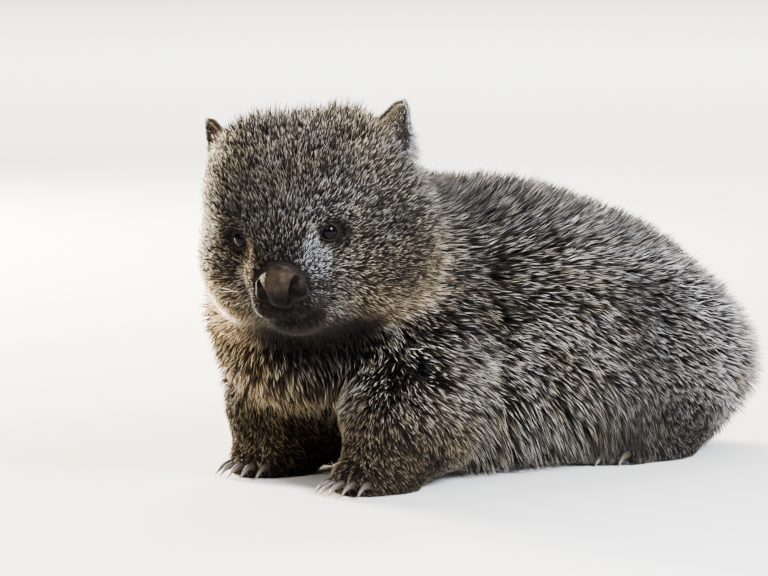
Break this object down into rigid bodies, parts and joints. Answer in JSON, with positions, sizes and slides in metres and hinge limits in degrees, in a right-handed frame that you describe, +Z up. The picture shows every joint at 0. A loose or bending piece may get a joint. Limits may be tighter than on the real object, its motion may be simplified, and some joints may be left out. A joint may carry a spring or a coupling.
{
  "type": "common wombat",
  "caption": "Life-size still model of a young common wombat braced on its forelegs with its haunches low, head turned to its left and slightly bowed.",
  "frame": {"origin": "on the floor, under the middle of the animal's bounding box", "axes": "+Z up; the body faces -Y, so +Y runs along the body towards the rump and +X is the animal's left"},
  "size_m": [0.2878, 0.6866, 0.3286],
  "materials": {
    "coat": "coarse, close grey-brown coat with pale-tipped guard hairs, warmer brown on the cheeks, chest and forelegs",
    "foot_coat": "short dark brown fur over the feet, bare dark pads below",
    "ear": "short fur, orange-brown outside, dark inside with a pale fringe along the edge",
    "nose_skin": "bare granular skin, brown on top and black below, slightly damp",
    "eye": "near-black wet eye with a smooth clear front",
    "claw": "horn, dark grey-brown, worn paler at the tip"
  },
  "bodies": {
    "root": {"claw_fore_left_1": "claw", "claw_fore_left_2": "claw", "claw_fore_left_3": "claw", "claw_fore_left_4": "claw", "claw_fore_left_5": "claw", "claw_fore_right_1": "claw", "claw_fore_right_2": "claw", "claw_fore_right_3": "claw", "claw_fore_right_4": "claw", "claw_fore_right_5": "claw", "claw_hind_left_1": "claw", "claw_hind_left_2": "claw", "claw_hind_left_3": "claw", "claw_hind_left_4": "claw", "claw_hind_right_1": "claw", "claw_hind_right_2": "claw", "claw_hind_right_3": "claw", "claw_hind_right_4": "claw", "ear_left": "ear", "ear_right": "ear", "eye_left": "eye", "eye_right": "eye", "forefoot_left": "foot_coat", "forefoot_right": "foot_coat", "foreleg_left": "coat", "foreleg_right": "coat", "head": "coat", "hindfoot_left": "foot_coat", "hindfoot_right": "foot_coat", "hindleg_left": "coat", "hindleg_right": "coat", "hindquarters": "coat", "neck": "coat", "nose": "nose_skin", "tail": "coat", "torso": "coat"}
  },
  "joints": []
}
